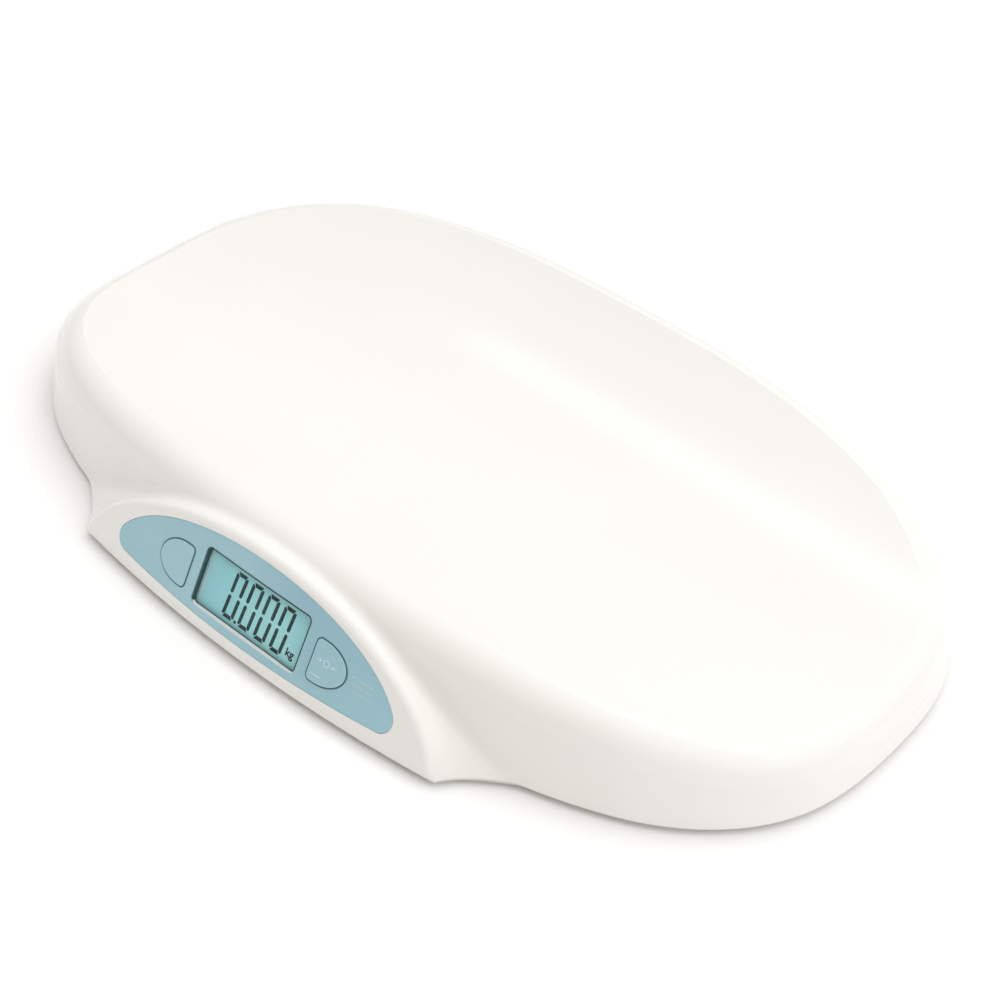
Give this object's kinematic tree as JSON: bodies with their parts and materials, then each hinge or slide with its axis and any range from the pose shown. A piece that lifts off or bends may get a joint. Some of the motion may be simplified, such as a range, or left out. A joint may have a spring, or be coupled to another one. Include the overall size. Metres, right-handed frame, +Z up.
{
  "type": "digital baby weighing scale",
  "caption": "Digital baby scale: a long moulded trough with raised side rims on a flat base, with a sloping front console holding a display and two keys.",
  "frame": {"origin": "middle of the footprint, on the surface that the feet stand on", "axes": "+X along the tray, +Y away from the console, +Z up; the console faces -Y"},
  "size_m": [0.55, 0.331, 0.0622],
  "materials": {
    "cover_plastic": "gloss",
    "base_plastic": "satin",
    "panel_blue": "satin",
    "key_blue": "satin",
    "clear_lens": "clear",
    "display_glass": "gloss",
    "inner_plastic": "matte",
    "strip_rubber": "matte",
    "board_green": "satin",
    "chip_black": "matte",
    "switch_black": "matte",
    "contact_metal": "bright",
    "cell_steel": "brushed",
    "foot_plastic": "matte",
    "pad_rubber": "matte",
    "battery_jacket": "gloss",
    "screw_steel": "zinc"
  },
  "bodies": {
    "housing": {"base_cover": "base_plastic", "battery_1": "battery_jacket", "battery_2": "battery_jacket", "battery_3": "battery_jacket", "battery_4": "battery_jacket", "cell_bracket_back_left": "inner_plastic", "cell_bracket_back_right": "inner_plastic", "cell_bracket_front_left": "inner_plastic", "cell_bracket_front_right": "inner_plastic", "contact_strip": "strip_rubber", "contacts_left": "contact_metal", "contacts_right": "contact_metal", "control_chip": "chip_black", "cover_screw_1": "screw_steel", "cover_screw_2": "screw_steel", "cover_screw_3": "screw_steel", "cover_screw_4": "screw_steel", "cover_screw_5": "screw_steel", "cover_screw_6": "screw_steel", "cover_screw_7": "screw_steel", "cover_screw_8": "screw_steel", "display_frame": "inner_plastic", "display_glass": "display_glass", "display_lens": "clear_lens", "foot_back_left": "foot_plastic", "foot_back_right": "foot_plastic", "foot_front_left": "foot_plastic", "foot_front_right": "foot_plastic", "foot_pad_back_left": "pad_rubber", "foot_pad_back_right": "pad_rubber", "foot_pad_front_left": "pad_rubber", "foot_pad_front_right": "pad_rubber", "load_cell_back_left": "cell_steel", "load_cell_back_right": "cell_steel", "load_cell_front_left": "cell_steel", "load_cell_front_right": "cell_steel", "main_board": "board_green", "panel_sheet": "panel_blue", "power_switch": "switch_black", "tare_switch": "switch_black", "top_cover": "cover_plastic", "unit_switch": "switch_black"},
    "power_key": {"power_key": "key_blue"},
    "tare_key": {"tare_key": "key_blue"},
    "battery_door": {"battery_door": "base_plastic"},
    "unit_knob": {"unit_knob": "switch_black"}
  },
  "joints": [
    {"name": "power_key_press", "type": "slide", "parent": "housing", "child": "power_key", "axis": [0, 0.8809, -0.4733], "range_m": [0, 0.0006], "stiffness_N_per_m": 500, "springref_m": -0.0006},
    {"name": "tare_key_press", "type": "slide", "parent": "housing", "child": "tare_key", "axis": [0, 0.8809, -0.4733], "range_m": [0, 0.0006], "stiffness_N_per_m": 500, "springref_m": -0.0006},
    {"name": "battery_door_hinge", "type": "hinge", "parent": "housing", "child": "battery_door", "pos_m": [0, 0.0408, 0.003], "axis": [1, 0, 0], "range_deg": [0, 75]},
    {"name": "unit_knob_slide", "type": "slide", "parent": "housing", "child": "unit_knob", "axis": [1, 0, 0], "range_m": [0, 0.002]}
  ]
}
